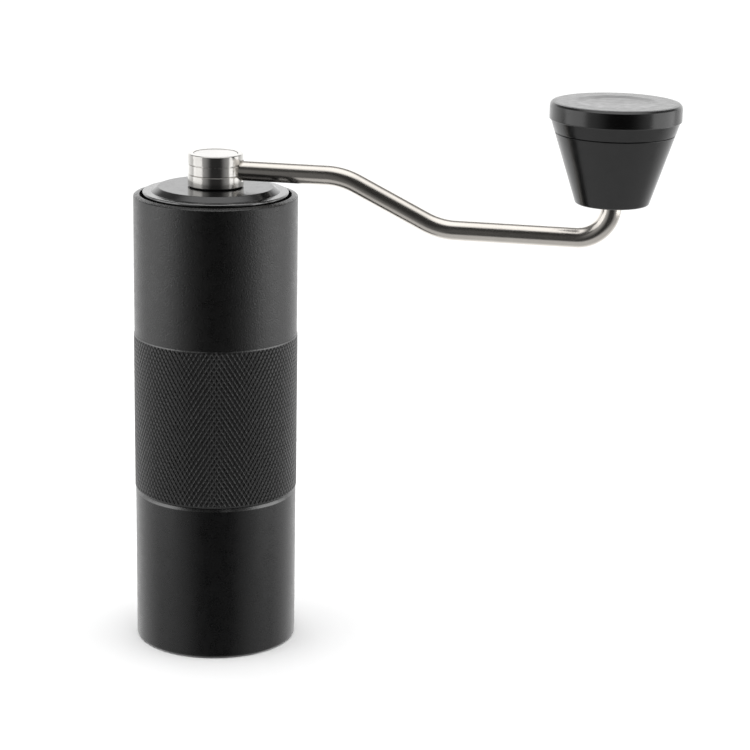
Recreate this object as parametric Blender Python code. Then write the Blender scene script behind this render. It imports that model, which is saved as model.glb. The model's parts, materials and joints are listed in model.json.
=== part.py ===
"""Hand crank coffee grinder: a knurled tube with a conical burr set, a lift-off lid, a bent steel
crank with a cone knob, and a screw-on cup for the grounds.

Blender 4.5. The sizes below are in millimetres, and MM turns them into metres. +Z is up along the
axis of the tube, +X runs along the crank arm, and the origin is the middle of the cup's flat base.
"""

import math

import bmesh
import bpy
from mathutils import Vector

MM = 0.001

# Outside of the body
BODY_R = 26.0
KNURL_R = 26.2
CUP_TOP = 50.5
CUP_CHAMFER = 0.6
BAND_BOTTOM = 50.8
BAND_TOP = 102.1
RIM_TOP = 147.3

# Bores of the body
HOPPER_R = 22.0
CHAMBER_R = 21.4
RIM_BORE_R = 24.0
LEDGE_Z = 144.5
UPPER_SEAT_Z = 115.9
LOWER_SEAT_Z = 94.2

# Screw joint between the body and the cup
SPIGOT_R = 23.3
SPIGOT_BOTTOM = 42.5
GASKET = (23.7, 25.2)
GASKET_GROOVE = (25.5, 51.5)
THREAD_LEAD = 2.0
THREAD_DEPTH = 0.9
THREAD_START = 43.4
CUP_THREAD_R = 24.5
CUP_R = 23.6
CUP_FLOOR = 2.6

# Shaft, bearings and burrs
SHAFT_R = 4.0
HEX_HALF = 3.45
HEX_CLEARANCE = 0.2
BEARING_R = 7.8
BEARING_H = 5.0
BEARING_BALLS = 7
UPPER_BEARING_Z = 115.9
LOWER_BEARING_Z = 86.2
BURR_BOTTOM = 62.0
BURR_TOP = 79.0
BURR_R = 17.4
BURR_GAP = 0.65
BURR_TEETH = 20
SPRING_R = 6.4
SPRING_BOTTOM = 72.6
SPRING_TOP = 81.9
DIAL_R = 12.0
DIAL_BOTTOM = 54.6
DIAL_NUT_TOP = 57.0
DIAL_TOP = 60.7
CLICKS = 12
CLICK_BALL_X = 8.0

# Lid and crank
LID_TOP = 149.4
LID_BOTTOM = 142.0
FLANGE_R = 23.1
FLANGE_TOP = 147.9
HUB_BOTTOM = 149.8
HUB_TOP = 160.0
HUB_R = 8.75
NECK_R = 6.0
NECK_BOTTOM = 139.6
ARM_R = 3.0
ARM_Z = 154.85
ARM_LOW_Z = 139.9
ARM_BENDS_X = (42.0, 73.0)
ARM_BEND_RADII = (22.0, 22.0, 10.5)
CRANK_R = 125.0

# Knob
KNOB_BOTTOM = 151.1
KNOB_SEAM = 172.9
KNOB_SHOULDER = 176.8
KNOB_TOP = 182.2
KNOB_BOTTOM_R = 11.2
KNOB_SEAM_R = 18.3
KNOB_TOP_R = 20.0
KNOB_DISH_R = 12.4
KNOB_DISH_DEPTH = 0.35
SPINDLE_R = 2.4
SPINDLE_TOP = 168.2
SCREW_LOW = 159.0

# Number of sides of round pieces
WIDE = 32
MIDDLE = 24
BEARING = 18
SMALL = 12

SMOOTH_UNDER = math.radians(35)


def clear_scene():
    for obj in list(bpy.data.objects):
        bpy.data.objects.remove(obj, do_unlink=True)


def finish(name, colour, roughness, metallic):
    """A Principled material."""
    made = bpy.data.materials.new(name)
    made.use_nodes = True
    shader = made.node_tree.nodes["Principled BSDF"]
    shader.inputs["Base Color"].default_value = (*colour, 1.0)
    shader.inputs["Roughness"].default_value = roughness
    shader.inputs["Metallic"].default_value = metallic
    return made


def axis(name, x=0.0, parent=None):
    """An empty on a joint's vertical axis, which carries the pieces that move together."""
    empty = bpy.data.objects.new(name, None)
    empty.empty_display_size = 10 * MM
    empty.location.x = x * MM
    empty.parent = parent
    bpy.context.collection.objects.link(empty)
    return empty


def add(name, mesh, material=None, parent=None):
    """Puts a bmesh, in millimetres, into the scene as an object."""
    bmesh.ops.recalc_face_normals(mesh, faces=mesh.faces)
    bmesh.ops.scale(mesh, vec=(MM, MM, MM), verts=mesh.verts)
    data = bpy.data.meshes.new(name)
    mesh.to_mesh(data)
    mesh.free()
    data.shade_smooth()
    data.set_sharp_from_angle(angle=SMOOTH_UNDER)
    obj = bpy.data.objects.new(name, data)
    obj.parent = parent
    bpy.context.collection.objects.link(obj)
    if material:
        data.materials.append(material)
    return obj


def helper(name, mesh, parent=None):
    """A shape that only takes part in a Boolean."""
    obj = add(name, mesh, parent=parent)
    obj.hide_render = True
    obj.display_type = "WIRE"
    return obj


def combine(obj, other, operation):
    """Joins a helper to an object, or cuts it out, with a Boolean modifier."""
    modifier = obj.modifiers.new(other.name, "BOOLEAN")
    modifier.operation = operation
    modifier.object = other


def rings(profile, sides, loop=True, shift=0):
    """One closed surface through rings of points about Z, as a bmesh. A ring is (radius, height) or
    (radius, height, turn in degrees), and radius and height may be functions of the angle. With loop
    the last ring joins the first one, shift points on; without it a fan closes each end."""
    mesh = bmesh.new()
    made = []
    for radius, height, *turn in profile:
        start = math.radians(turn[0]) if turn else 0.0
        ring = []
        for k in range(sides):
            angle = 2 * math.pi * k / sides
            r = radius(angle) if callable(radius) else radius
            z = height(angle) if callable(height) else height
            ring.append(mesh.verts.new((r * math.cos(angle + start), r * math.sin(angle + start), z)))
        made.append(ring)
    if loop:
        made.append(made[0][shift:] + made[0][:shift])
    for low, high in zip(made, made[1:]):
        for k in range(sides):
            mesh.faces.new((low[k - 1], low[k], high[k], high[k - 1]))
    if not loop:
        for ring in (made[0], made[-1]):
            centre = sum((v.co for v in ring), Vector()) / sides
            tip = mesh.verts.new(centre)
            for k in range(sides):
                mesh.faces.new((ring[k - 1], ring[k], tip))
    return mesh


def flat_ring(inner, outer, low, high):
    """The profile of a plain ring."""
    return ((inner, low), (outer, low), (outer, high), (inner, high))


def tube(path, radii, sides):
    """A round bar along a path in the XZ plane, with a radius at each point, as a bmesh."""
    mesh = bmesh.new()
    made = []
    for i, (point, radius) in enumerate(zip(path, radii)):
        ahead = path[min(i + 1, len(path) - 1)] - path[max(i - 1, 0)]
        if ahead.length == 0:
            ahead = Vector((0, 0, 1))
        side = Vector((0, 1, 0))
        up = side.cross(ahead.normalized())
        ring = []
        for k in range(sides):
            angle = 2 * math.pi * k / sides
            ring.append(mesh.verts.new(point + radius * (math.cos(angle) * up + math.sin(angle) * side)))
        made.append(ring)
    for low, high in zip(made, made[1:]):
        for k in range(sides):
            mesh.faces.new((low[k - 1], low[k], high[k], high[k - 1]))
    mesh.faces.new(made[0])
    mesh.faces.new(made[-1])
    return mesh


def rounded_path(corners, bends, steps):
    """Points along a bent line: each inner corner becomes an arc of the given radius."""
    path = [corners[0]]
    for before, corner, after, bend in zip(corners, corners[1:], corners[2:], bends):
        way_in = (corner - before).normalized()
        way_out = (after - corner).normalized()
        turn = way_in.angle(way_out)
        inward = (way_out - way_in).normalized()
        centre = corner + inward * bend / math.cos(turn / 2)
        first = (corner - way_in * bend * math.tan(turn / 2) - centre).normalized()
        last = (corner + way_out * bend * math.tan(turn / 2) - centre).normalized()
        for i in range(steps + 1):
            path.append(centre + bend * first.slerp(last, i / steps))
    return path + [corners[-1]]


def coil(radius, wire, low, high, turns, per_turn, sides):
    """A helical spring wire, as a bmesh."""
    mesh = bmesh.new()
    steps = round(turns * per_turn)
    made = []
    for i in range(steps + 1):
        angle = 2 * math.pi * i / per_turn
        z = low + (high - low) * i / steps
        ring = []
        for k in range(sides):
            tilt = 2 * math.pi * k / sides
            r = radius + wire * math.cos(tilt)
            ring.append(
                mesh.verts.new((r * math.cos(angle), r * math.sin(angle), z + wire * math.sin(tilt)))
            )
        made.append(ring)
    for low_ring, high_ring in zip(made, made[1:]):
        for k in range(sides):
            mesh.faces.new((low_ring[k - 1], low_ring[k], high_ring[k], high_ring[k - 1]))
    mesh.faces.new(made[0])
    mesh.faces.new(made[-1])
    return mesh


def thread_ridge(wall, crest, start, turns, per_turn=28):
    """A right-hand helical ridge that stands out of a wall to its crest, as a bmesh. It is sunk into
    the wall, and it fades in and out over a quarter of a turn."""
    sunk, foot, tip, least = 0.3, 0.55, 0.28, 0.12
    outwards = math.copysign(1, crest - wall)
    mesh = bmesh.new()
    steps = round(turns * per_turn)
    made = []
    for i in range(steps + 1):
        angle = 2 * math.pi * i / per_turn
        z = start + THREAD_LEAD * i / per_turn
        full = max(least, min(1.0, 4 * i / per_turn, 4 * (steps - i) / per_turn))
        inner, outer = wall - outwards * sunk, wall + full * (crest - wall)
        section = ((inner, -foot), (outer, -tip), (outer, tip), (inner, foot))
        made.append(
            [mesh.verts.new((r * math.cos(angle), r * math.sin(angle), z + dz)) for r, dz in section]
        )
    for low, high in zip(made, made[1:]):
        for k in range(4):
            mesh.faces.new((low[k - 1], low[k], high[k], high[k - 1]))
    mesh.faces.new(made[0])
    mesh.faces.new(made[-1])
    return mesh


def open_ring(inner, outer, low, high, lug, gap=34, steps=16):
    """A retaining ring with a gap at +Y. The lugs beside the gap are lug wider, inwards if lug is
    negative. As a bmesh."""
    mesh = bmesh.new()
    made = []
    for i in range(steps + 1):
        angle = math.radians(90 + gap / 2 + (360 - gap) * i / steps)
        wide = lug if i in (0, 1, steps - 1, steps) else 0.0
        r_in, r_out = inner + min(wide, 0.0), outer + max(wide, 0.0)
        corners = ((r_in, low), (r_out, low), (r_out, high), (r_in, high))
        made.append([mesh.verts.new((r * math.cos(angle), r * math.sin(angle), z)) for r, z in corners])
    for low_ring, high_ring in zip(made, made[1:]):
        for k in range(4):
            mesh.faces.new((low_ring[k - 1], low_ring[k], high_ring[k], high_ring[k - 1]))
    mesh.faces.new(made[0])
    mesh.faces.new(made[-1])
    return mesh


def hexagon(half):
    """The radius, by angle, of a hexagon that measures 2 * half across its flats."""

    def radius(angle):
        sixth = math.pi / 3
        return half / math.cos(angle % sixth - sixth / 2)

    return radius


def teeth(radius, depth, count, outwards=False):
    """The radius, by angle, of a ring of sawtooth teeth. They are cut inwards, or outwards."""

    def saw(angle):
        cut = depth * ((angle * count / (2 * math.pi) + 1e-6) % 1.0)
        return radius + cut if outwards else radius - cut

    return saw


def make_cup(material):
    profile = (
        (BODY_R - 0.6, 0.0),
        (BODY_R, 0.6),
        (BODY_R, CUP_TOP - CUP_CHAMFER),
        (BODY_R - CUP_CHAMFER, CUP_TOP),
        (CUP_THREAD_R, CUP_TOP),
        (CUP_THREAD_R, SPIGOT_BOTTOM - 0.3),
        (CUP_R, SPIGOT_BOTTOM - 1.2),
        (CUP_R, CUP_FLOOR + 2.0),
        (CUP_R - 2.0, CUP_FLOOR),
    )
    cup = add("grounds_cup", rings(profile, WIDE, loop=False), material)
    start = THREAD_START + THREAD_LEAD / 2
    ridge = thread_ridge(CUP_THREAD_R, CUP_THREAD_R - THREAD_DEPTH, start, 2.3)
    combine(cup, helper("cup_thread", ridge), "UNION")


def make_housing(material, parent):
    seat_groove = 0.6
    seal_r, seal_top = GASKET_GROOVE
    profile = (
        (BODY_R - 0.6, RIM_TOP),
        (BODY_R, RIM_TOP - 0.6),
        (BODY_R, BAND_TOP + 0.15),
        (KNURL_R, BAND_TOP - 0.1),
        (KNURL_R, BAND_BOTTOM + 0.3),
        (BODY_R - 0.2, BAND_BOTTOM),
        (seal_r, BAND_BOTTOM),
        (seal_r, seal_top),
        (SPIGOT_R, seal_top),
        (SPIGOT_R, SPIGOT_BOTTOM + 0.5),
        (SPIGOT_R - 0.5, SPIGOT_BOTTOM),
        (HOPPER_R, SPIGOT_BOTTOM),
        (HOPPER_R, BURR_BOTTOM - 1.0),
        (HOPPER_R + seat_groove, BURR_BOTTOM - 1.0),
        (HOPPER_R + seat_groove, BURR_BOTTOM + 0.2),
        (HOPPER_R, BURR_BOTTOM + 0.2),
        (HOPPER_R, LOWER_SEAT_Z),
        (CHAMBER_R, LOWER_SEAT_Z),
        (CHAMBER_R, UPPER_SEAT_Z),
        (HOPPER_R, UPPER_SEAT_Z),
        (HOPPER_R, UPPER_SEAT_Z + 5.5),
        (HOPPER_R + seat_groove, UPPER_SEAT_Z + 5.5),
        (HOPPER_R + seat_groove, UPPER_SEAT_Z + 6.5),
        (HOPPER_R, UPPER_SEAT_Z + 6.5),
        (HOPPER_R, LEDGE_Z),
        (RIM_BORE_R, LEDGE_Z),
        (RIM_BORE_R, RIM_TOP - 0.4),
        (RIM_BORE_R + 0.4, RIM_TOP),
    )
    housing = add("housing", rings(profile, WIDE), material, parent)
    ridge = thread_ridge(SPIGOT_R, SPIGOT_R + THREAD_DEPTH, THREAD_START, 2.7)
    combine(housing, helper("spigot_thread", ridge, parent), "UNION")


def make_gasket(material, parent):
    profile = flat_ring(*GASKET, CUP_TOP + 0.25, GASKET_GROOVE[1] - 0.25)
    add("spigot_gasket", rings(profile, WIDE), material, parent)


def make_bracket(name, rim, hub, arms_low, arms_high, material, parent):
    """A bearing bracket: a rim, a hub and three arms with sloping sides."""
    bracket = add(name, rings(rim, WIDE), material, parent)
    combine(bracket, helper(name + "_hub", rings(hub, MIDDLE), parent), "UNION")
    foot, crest = 2.5, 1.6
    section = ((-foot, arms_low), (foot, arms_low), (crest, arms_high), (-crest, arms_high))
    from_r, to_r = BEARING_R + 1.1, HOPPER_R - 0.7
    for k in range(3):
        angle = math.radians(120 * k + 60)
        along = Vector((math.cos(angle), math.sin(angle), 0))
        across = Vector((-math.sin(angle), math.cos(angle), 0))
        mesh = bmesh.new()
        ends = []
        for r in (from_r, to_r):
            points = [along * r + across * y + Vector((0, 0, z)) for y, z in section]
            ends.append([mesh.verts.new(point) for point in points])
        for i in range(4):
            mesh.faces.new((ends[0][i - 1], ends[0][i], ends[1][i], ends[1][i - 1]))
        for end in ends:
            mesh.faces.new(end)
        combine(bracket, helper(f"{name}_arm_{k + 1}", mesh, parent), "UNION")


def bearing_hub(bearing_z):
    """The profile of a bracket's hub, which holds a bearing and has a lip under it."""
    outer, seat, lip_r = BEARING_R + 2.0, BEARING_R + 0.2, 7.2
    bottom, floor, high = bearing_z - 0.8, bearing_z - 0.2, bearing_z + BEARING_H + 0.3
    return (
        (outer, bottom),
        (outer, high),
        (seat, high),
        (seat, floor),
        (lip_r, floor),
        (lip_r, bottom),
    )


def make_bearing(name, low, steel, dark, fixed, turning, cage):
    """A ball bearing: two rings, two shields, and a cage that holds its balls."""
    race_in, race_out = 5.3, 7.0
    high, middle = low + BEARING_H, low + BEARING_H / 2
    outer = flat_ring(race_out, BEARING_R, low, high)
    inner = flat_ring(SHAFT_R + 0.2, race_in, low, high)
    add(name + "_outer_ring", rings(outer, BEARING), steel, fixed)
    add(name + "_inner_ring", rings(inner, BEARING), steel, turning)
    for side, z in (("bottom", low + 0.2), ("top", high - 0.45)):
        shield = flat_ring(race_in + 0.2, race_out - 0.2, z, z + 0.25)
        add(f"{name}_{side}_shield", rings(shield, BEARING), dark, fixed)
    pitch, ball_r, wire = (race_in + race_out) / 2, 0.7, 0.3

    def bulge(angle):
        spacing = 2 * math.pi / BEARING_BALLS
        off = (angle + spacing / 2) % spacing - spacing / 2
        return math.sqrt(max(wire**2, ball_r**2 - (pitch * off) ** 2))

    around = [2 * math.pi * k / 6 for k in range(6)]
    section = [
        (
            lambda a, t=t: pitch + bulge(a) * math.cos(t),
            lambda a, t=t: middle + bulge(a) * math.sin(t),
        )
        for t in around
    ]
    add(name + "_ball_cage", rings(section, BEARING_BALLS * 6), steel, cage)


def make_shaft(material, parent):
    flats = hexagon(HEX_HALF)
    core, groove, collar = 3.3, 3.5, 5.4
    clip = UPPER_BEARING_Z + BEARING_H + 0.3
    profile = (
        (core - 0.5, 51.0),
        (core, 51.5),
        (core, DIAL_NUT_TOP + 1.4),
        (flats, DIAL_NUT_TOP + 1.4),
        (flats, LOWER_BEARING_Z - 4.0),
        (SHAFT_R, LOWER_BEARING_Z - 3.8),
        (SHAFT_R, LOWER_BEARING_Z - 2.5),
        (collar, LOWER_BEARING_Z - 2.5),
        (collar, LOWER_BEARING_Z - 0.3),
        (SHAFT_R, LOWER_BEARING_Z - 0.3),
        (SHAFT_R, clip),
        (groove, clip),
        (groove, clip + 1.0),
        (SHAFT_R, clip + 1.0),
        (SHAFT_R, 134.0),
        (flats, 134.6),
        (flats, HUB_BOTTOM - 0.8),
        (hexagon(HEX_HALF - 0.5), HUB_BOTTOM - 0.3),
    )
    add("drive_shaft", rings(profile, MIDDLE, loop=False), material, parent)
    add("shaft_circlip", open_ring(3.7, 5.6, clip + 0.15, clip + 0.85, 1.2), material, parent)


def make_burrs(steel, fixed, turning):
    """The inner burr spirals one way and the ring around it the other way."""
    turn, back_turn = 60, -48
    sides = BURR_TEETH * 3
    side_step = 360 // sides
    bore = hexagon(HEX_HALF + HEX_CLEARANCE)
    well, seat = SPRING_R + 1.0, SPRING_BOTTOM - 0.7
    inner = (
        (BURR_R - 0.3, BURR_BOTTOM),
        (teeth(BURR_R, 0.25, BURR_TEETH), BURR_BOTTOM + 0.5, 2),
        (teeth(15.3, 0.3, BURR_TEETH), 67.2, 12),
        (teeth(12.8, 1.0, BURR_TEETH), 71.0, 27),
        (teeth(9.6, 0.9, BURR_TEETH), BURR_TOP - 1.0, 56),
        (8.8, BURR_TOP, turn),
        (well, BURR_TOP, turn),
        (well, seat, turn),
        (bore, seat, turn),
        (bore, BURR_BOTTOM, turn),
    )
    add("inner_burr", rings(inner, sides, shift=turn // side_step), steel, turning)
    low, high, reach = BURR_BOTTOM + 0.5, 79.7, HOPPER_R - 0.2
    outer = (
        (reach, low),
        (BURR_R + BURR_GAP + 0.3, low),
        (teeth(BURR_R + BURR_GAP - 0.1, 0.25, BURR_TEETH, True), low + 0.4, -2),
        (teeth(15.3 + BURR_GAP, 0.3, BURR_TEETH, True), 67.2, -10),
        (teeth(16.2, 1.2, BURR_TEETH, True), 70.6, -20),
        (teeth(18.0, 1.0, BURR_TEETH, True), high - 1.0, back_turn + 2),
        (19.3, high, back_turn),
        (reach, high, back_turn),
    )
    add("outer_burr", rings(outer, sides, shift=back_turn // side_step), steel, fixed)


def make_spring(material, parent):
    wire, turns = 0.5, 4.5
    add("burr_spring", coil(SPRING_R, wire, SPRING_BOTTOM, SPRING_TOP, turns, 14, 5), material, parent)
    low = SPRING_TOP + 0.8
    washer = flat_ring(SHAFT_R + 0.35, 8.0, low, low + 0.6)
    add("spring_washer", rings(washer, SMALL), material, parent)


def make_dial(alloy, steel, burr_parent, dial_parent):
    """The click plate turns with the burr. The dial under it holds two sprung balls."""
    low = BURR_BOTTOM - 1.0

    def notched(angle):
        place = angle * CLICKS / (2 * math.pi) % 1.0
        return low + (0.2 if abs(place - 0.5) < 0.01 else 0.0)

    bore = hexagon(HEX_HALF + HEX_CLEARANCE)
    plate_r, high = 10.5, low + 0.7
    plate = (
        (bore, low),
        (CLICK_BALL_X - 2.0, low),
        (CLICK_BALL_X - 1.0, notched),
        (CLICK_BALL_X + 1.0, notched),
        (plate_r, low),
        (plate_r, high),
        (bore, high),
    )
    add("click_plate", rings(plate, CLICKS * 4), steel, burr_parent)

    def fluted(radius):
        return lambda angle: radius - 0.5 * (1 - abs(math.sin(angle * 10)))

    nut_r, relief_r = 3.7, 4.4
    profile = (
        (nut_r, DIAL_BOTTOM),
        (6.0, DIAL_BOTTOM),
        (7.0, DIAL_BOTTOM + 1.2),
        (DIAL_R - 1.0, DIAL_BOTTOM + 1.2),
        (fluted(DIAL_R), DIAL_BOTTOM + 2.0),
        (fluted(DIAL_R), DIAL_TOP - 0.6),
        (DIAL_R - 1.0, DIAL_TOP),
        (relief_r, DIAL_TOP),
        (relief_r, DIAL_NUT_TOP),
        (nut_r, DIAL_NUT_TOP),
    )
    dial = add("adjust_dial", rings(profile, 60), alloy, dial_parent)
    ball_r, pocket_r, pocket_low = 1.0, 1.25, DIAL_NUT_TOP + 0.2
    for k, x in enumerate((CLICK_BALL_X, -CLICK_BALL_X), 1):
        pocket = rings(((pocket_r, pocket_low), (pocket_r, DIAL_TOP + 1.0)), 10, loop=False)
        bmesh.ops.translate(pocket, vec=(x, 0, 0), verts=pocket.verts)
        combine(dial, helper(f"ball_pocket_{k}", pocket, dial_parent), "DIFFERENCE")
        ball = bmesh.new()
        bmesh.ops.create_icosphere(ball, subdivisions=2, radius=ball_r)
        bmesh.ops.translate(ball, vec=(x, 0, DIAL_TOP - 0.95), verts=ball.verts)
        add(f"click_ball_{k}", ball, steel, dial_parent)
        spring = coil(0.75, 0.15, pocket_low + 0.35, pocket_low + 1.2, 2.5, 8, 4)
        bmesh.ops.translate(spring, vec=(x, 0, 0), verts=spring.verts)
        add(f"click_spring_{k}", spring, steel, dial_parent)


def make_lid(black, rubber, bronze, parent):
    plug_r, boss_r, bore = HOPPER_R - 0.4, 10.5, 7.6
    recess = LID_BOTTOM + 2.6
    groove_r, groove_low, groove_high = plug_r - 0.7, LID_BOTTOM + 0.9, LID_BOTTOM + 2.1
    profile = (
        (bore, LID_BOTTOM),
        (boss_r, LID_BOTTOM),
        (boss_r, recess),
        (plug_r - 2.3, recess),
        (plug_r - 2.3, LID_BOTTOM),
        (plug_r, LID_BOTTOM),
        (plug_r, groove_low),
        (groove_r, groove_low),
        (groove_r, groove_high),
        (plug_r, groove_high),
        (plug_r, LEDGE_Z + 0.3),
        (FLANGE_R, LEDGE_Z + 0.3),
        (FLANGE_R, FLANGE_TOP - 0.3),
        (FLANGE_R - 0.3, FLANGE_TOP),
        (20.0, FLANGE_TOP),
        (19.5, FLANGE_TOP + 0.25),
        (18.3, LID_TOP - 0.25),
        (17.6, LID_TOP),
        (bore, LID_TOP),
    )
    add("lid", rings(profile, WIDE), black, parent)
    middle, seal_r, seal_half = LID_BOTTOM + 1.5, plug_r - 0.15, 0.45
    seal = (
        (seal_r - 0.35, middle),
        (seal_r, middle - seal_half),
        (seal_r + 0.35, middle),
        (seal_r, middle + seal_half),
    )
    add("lid_seal", rings(seal, WIDE), rubber, parent)
    bush = flat_ring(NECK_R + 0.2, bore - 0.2, LID_BOTTOM + 0.3, LID_TOP - 0.2)
    add("lid_bush", rings(bush, MIDDLE), bronze, parent)


def make_crank(steel, dark, parent):
    socket = hexagon(HEX_HALF + HEX_CLEARANCE)
    groove, dish_r = 0.6, 7.0
    clip = NECK_BOTTOM + 1.25
    step, line = HUB_BOTTOM + 3.4, HUB_TOP - 3.5
    profile = (
        (socket, HUB_BOTTOM + 0.7),
        (socket, NECK_BOTTOM),
        (NECK_R - 0.4, NECK_BOTTOM),
        (NECK_R, NECK_BOTTOM + 0.4),
        (NECK_R, clip),
        (NECK_R - groove, clip),
        (NECK_R - groove, clip + 0.9),
        (NECK_R, clip + 0.9),
        (NECK_R, HUB_BOTTOM),
        (HUB_R - 0.1, HUB_BOTTOM),
        (HUB_R + 0.1, HUB_BOTTOM + 0.2),
        (HUB_R + 0.1, step),
        (HUB_R - 0.2, step + 0.25),
        (HUB_R - 0.15, line - 0.1),
        (HUB_R - 0.45, line),
        (HUB_R - 0.45, line + 0.15),
        (HUB_R, line + 0.25),
        (HUB_R, HUB_TOP - 0.4),
        (HUB_R - 0.4, HUB_TOP),
        (dish_r, HUB_TOP),
        (dish_r, HUB_TOP - 1.2),
    )
    hub = add("crank_hub", rings(profile, MIDDLE, loop=False), steel, parent)
    hole = tube([Vector((-6.2, 0, ARM_Z)), Vector((12.0, 0, ARM_Z))], [ARM_R + 0.25] * 2, SMALL)
    combine(hub, helper("arm_hole", hole, parent), "DIFFERENCE")
    disc = ((dish_r - 0.2, HUB_TOP - 1.0), (dish_r - 0.2, HUB_TOP - 0.6))
    add("hub_cap", rings(disc, MIDDLE, loop=False), steel, parent)
    washer = flat_ring(NECK_R + 0.2, 8.2, LID_TOP + 0.1, LID_TOP + 0.3)
    add("hub_washer", rings(washer, MIDDLE), dark, parent)
    add("hub_circlip", open_ring(5.6, 8.0, clip + 0.1, clip + 0.8, 1.0), steel, parent)


def make_arm(steel, parent):
    """The bent rod, with the knob's spindle at its end."""

    def at(x, z):
        return Vector((x, 0, z))

    shoulder, hole_r = KNOB_BOTTOM + 1.5, 1.7
    corners = [
        at(-5.9, ARM_Z),
        at(ARM_BENDS_X[0], ARM_Z),
        at(ARM_BENDS_X[1], ARM_LOW_Z),
        at(CRANK_R, ARM_LOW_Z),
        at(CRANK_R, shoulder),
    ]
    path = rounded_path(corners, ARM_BEND_RADII, 6)
    radii = [ARM_R] * len(path)
    for z, radius in (
        (shoulder, SPINDLE_R),
        (SPINDLE_TOP, SPINDLE_R),
        (SPINDLE_TOP, hole_r),
        (SCREW_LOW - 1.0, hole_r),
    ):
        path.append(at(CRANK_R, z))
        radii.append(radius)
    add("crank_arm", spindle_tube(path, radii), steel, parent)


def spindle_tube(path, radii):
    """The arm: a bar with a turned spindle, and a blind screw hole down the spindle, at its end."""
    straight = next(i for i, point in enumerate(path) if point.x > CRANK_R - 1e-4)
    mesh = tube(path[: straight + 1], radii[: straight + 1], SMALL)
    mesh.faces.ensure_lookup_table()
    end = mesh.faces[-1]
    last = list(end.verts)
    mesh.faces.remove(end)
    for point, radius in zip(path[straight + 1 :], radii[straight + 1 :]):
        ring = []
        for k in range(SMALL):
            angle = 2 * math.pi * k / SMALL
            offset = Vector((math.cos(angle), math.sin(angle), 0)) * radius
            ring.append(mesh.verts.new(point + offset))
        for k in range(SMALL):
            mesh.faces.new((last[k - 1], last[k], ring[k], ring[k - 1]))
        last = ring
    mesh.faces.new(last)
    return mesh


def make_knob(black, bronze, parent):
    """The pieces of the knob, about its own axis."""
    wall, boss_r, bush_r = 2.0, 6.6, 4.3
    body_top = KNOB_SEAM - 0.3
    body = (
        (KNOB_BOTTOM_R - 0.6, KNOB_BOTTOM),
        (KNOB_BOTTOM_R + 0.1, KNOB_BOTTOM + 0.7),
        (KNOB_SEAM_R - 0.1, body_top),
        (KNOB_SEAM_R - 0.1 - wall, body_top),
        (KNOB_BOTTOM_R - 1.2, KNOB_BOTTOM + 2.5),
        (boss_r, KNOB_BOTTOM + 2.5),
        (boss_r, SPINDLE_TOP + 0.4),
        (bush_r + 0.2, SPINDLE_TOP + 0.4),
        (bush_r + 0.2, KNOB_BOTTOM),
    )
    add("knob_body", rings(body, WIDE), black, parent)
    skirt_low, skirt_in, skirt_out = KNOB_SEAM - 2.5, 13.4, 14.7
    cap = (
        (skirt_in, KNOB_SHOULDER + 2.0),
        (skirt_in, skirt_low),
        (skirt_out, skirt_low),
        (skirt_out + 0.3, KNOB_SEAM),
        (KNOB_SEAM_R, KNOB_SEAM),
        (KNOB_TOP_R - 0.45, KNOB_SHOULDER - 0.1),
        (KNOB_TOP_R, KNOB_SHOULDER + 0.25),
        (KNOB_TOP_R, KNOB_TOP - 0.9),
        (KNOB_TOP_R - 0.3, KNOB_TOP - 0.25),
        (KNOB_TOP_R - 1.0, KNOB_TOP),
        (KNOB_DISH_R, KNOB_TOP - 0.1),
        (KNOB_DISH_R - 3.0, KNOB_TOP - 0.1 - KNOB_DISH_DEPTH / 2),
        (KNOB_DISH_R / 2, KNOB_TOP - 0.1 - KNOB_DISH_DEPTH),
    )
    add("knob_cap", rings(cap, WIDE, loop=False), black, parent)
    inner = SPINDLE_R + 0.2
    for name, low in (("knob_lower_bush", KNOB_BOTTOM + 2.7), ("knob_upper_bush", SPINDLE_TOP - 4.8)):
        add(name, rings(flat_ring(inner, bush_r, low, low + 5.0), SMALL), bronze, parent)


def make_knob_fixings(steel, parent):
    """The washers and the screw that hold the knob on the spindle. They stay with the arm."""
    inner, low = SPINDLE_R + 0.2, KNOB_BOTTOM + 1.8
    thrust = flat_ring(inner, 4.2, low, low + 0.6)
    add("knob_thrust_washer", rings(thrust, SMALL), steel, parent)
    low = SPINDLE_TOP + 0.7
    top = flat_ring(1.9, 5.8, low, low + 0.6)
    add("knob_top_washer", rings(top, SMALL), steel, parent)
    key, screw_r, head_r = hexagon(1.0), 1.5, 3.8
    head_low, head_high = SPINDLE_TOP + 1.6, SPINDLE_TOP + 4.0
    screw = (
        (key, head_low + 1.0),
        (key, head_high),
        (head_r - 0.6, head_high),
        (head_r, head_high - 0.8),
        (head_r, head_low),
        (screw_r, head_low),
        (screw_r, SCREW_LOW),
    )
    add("knob_screw", rings(screw, 18, loop=False), steel, parent)


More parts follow.
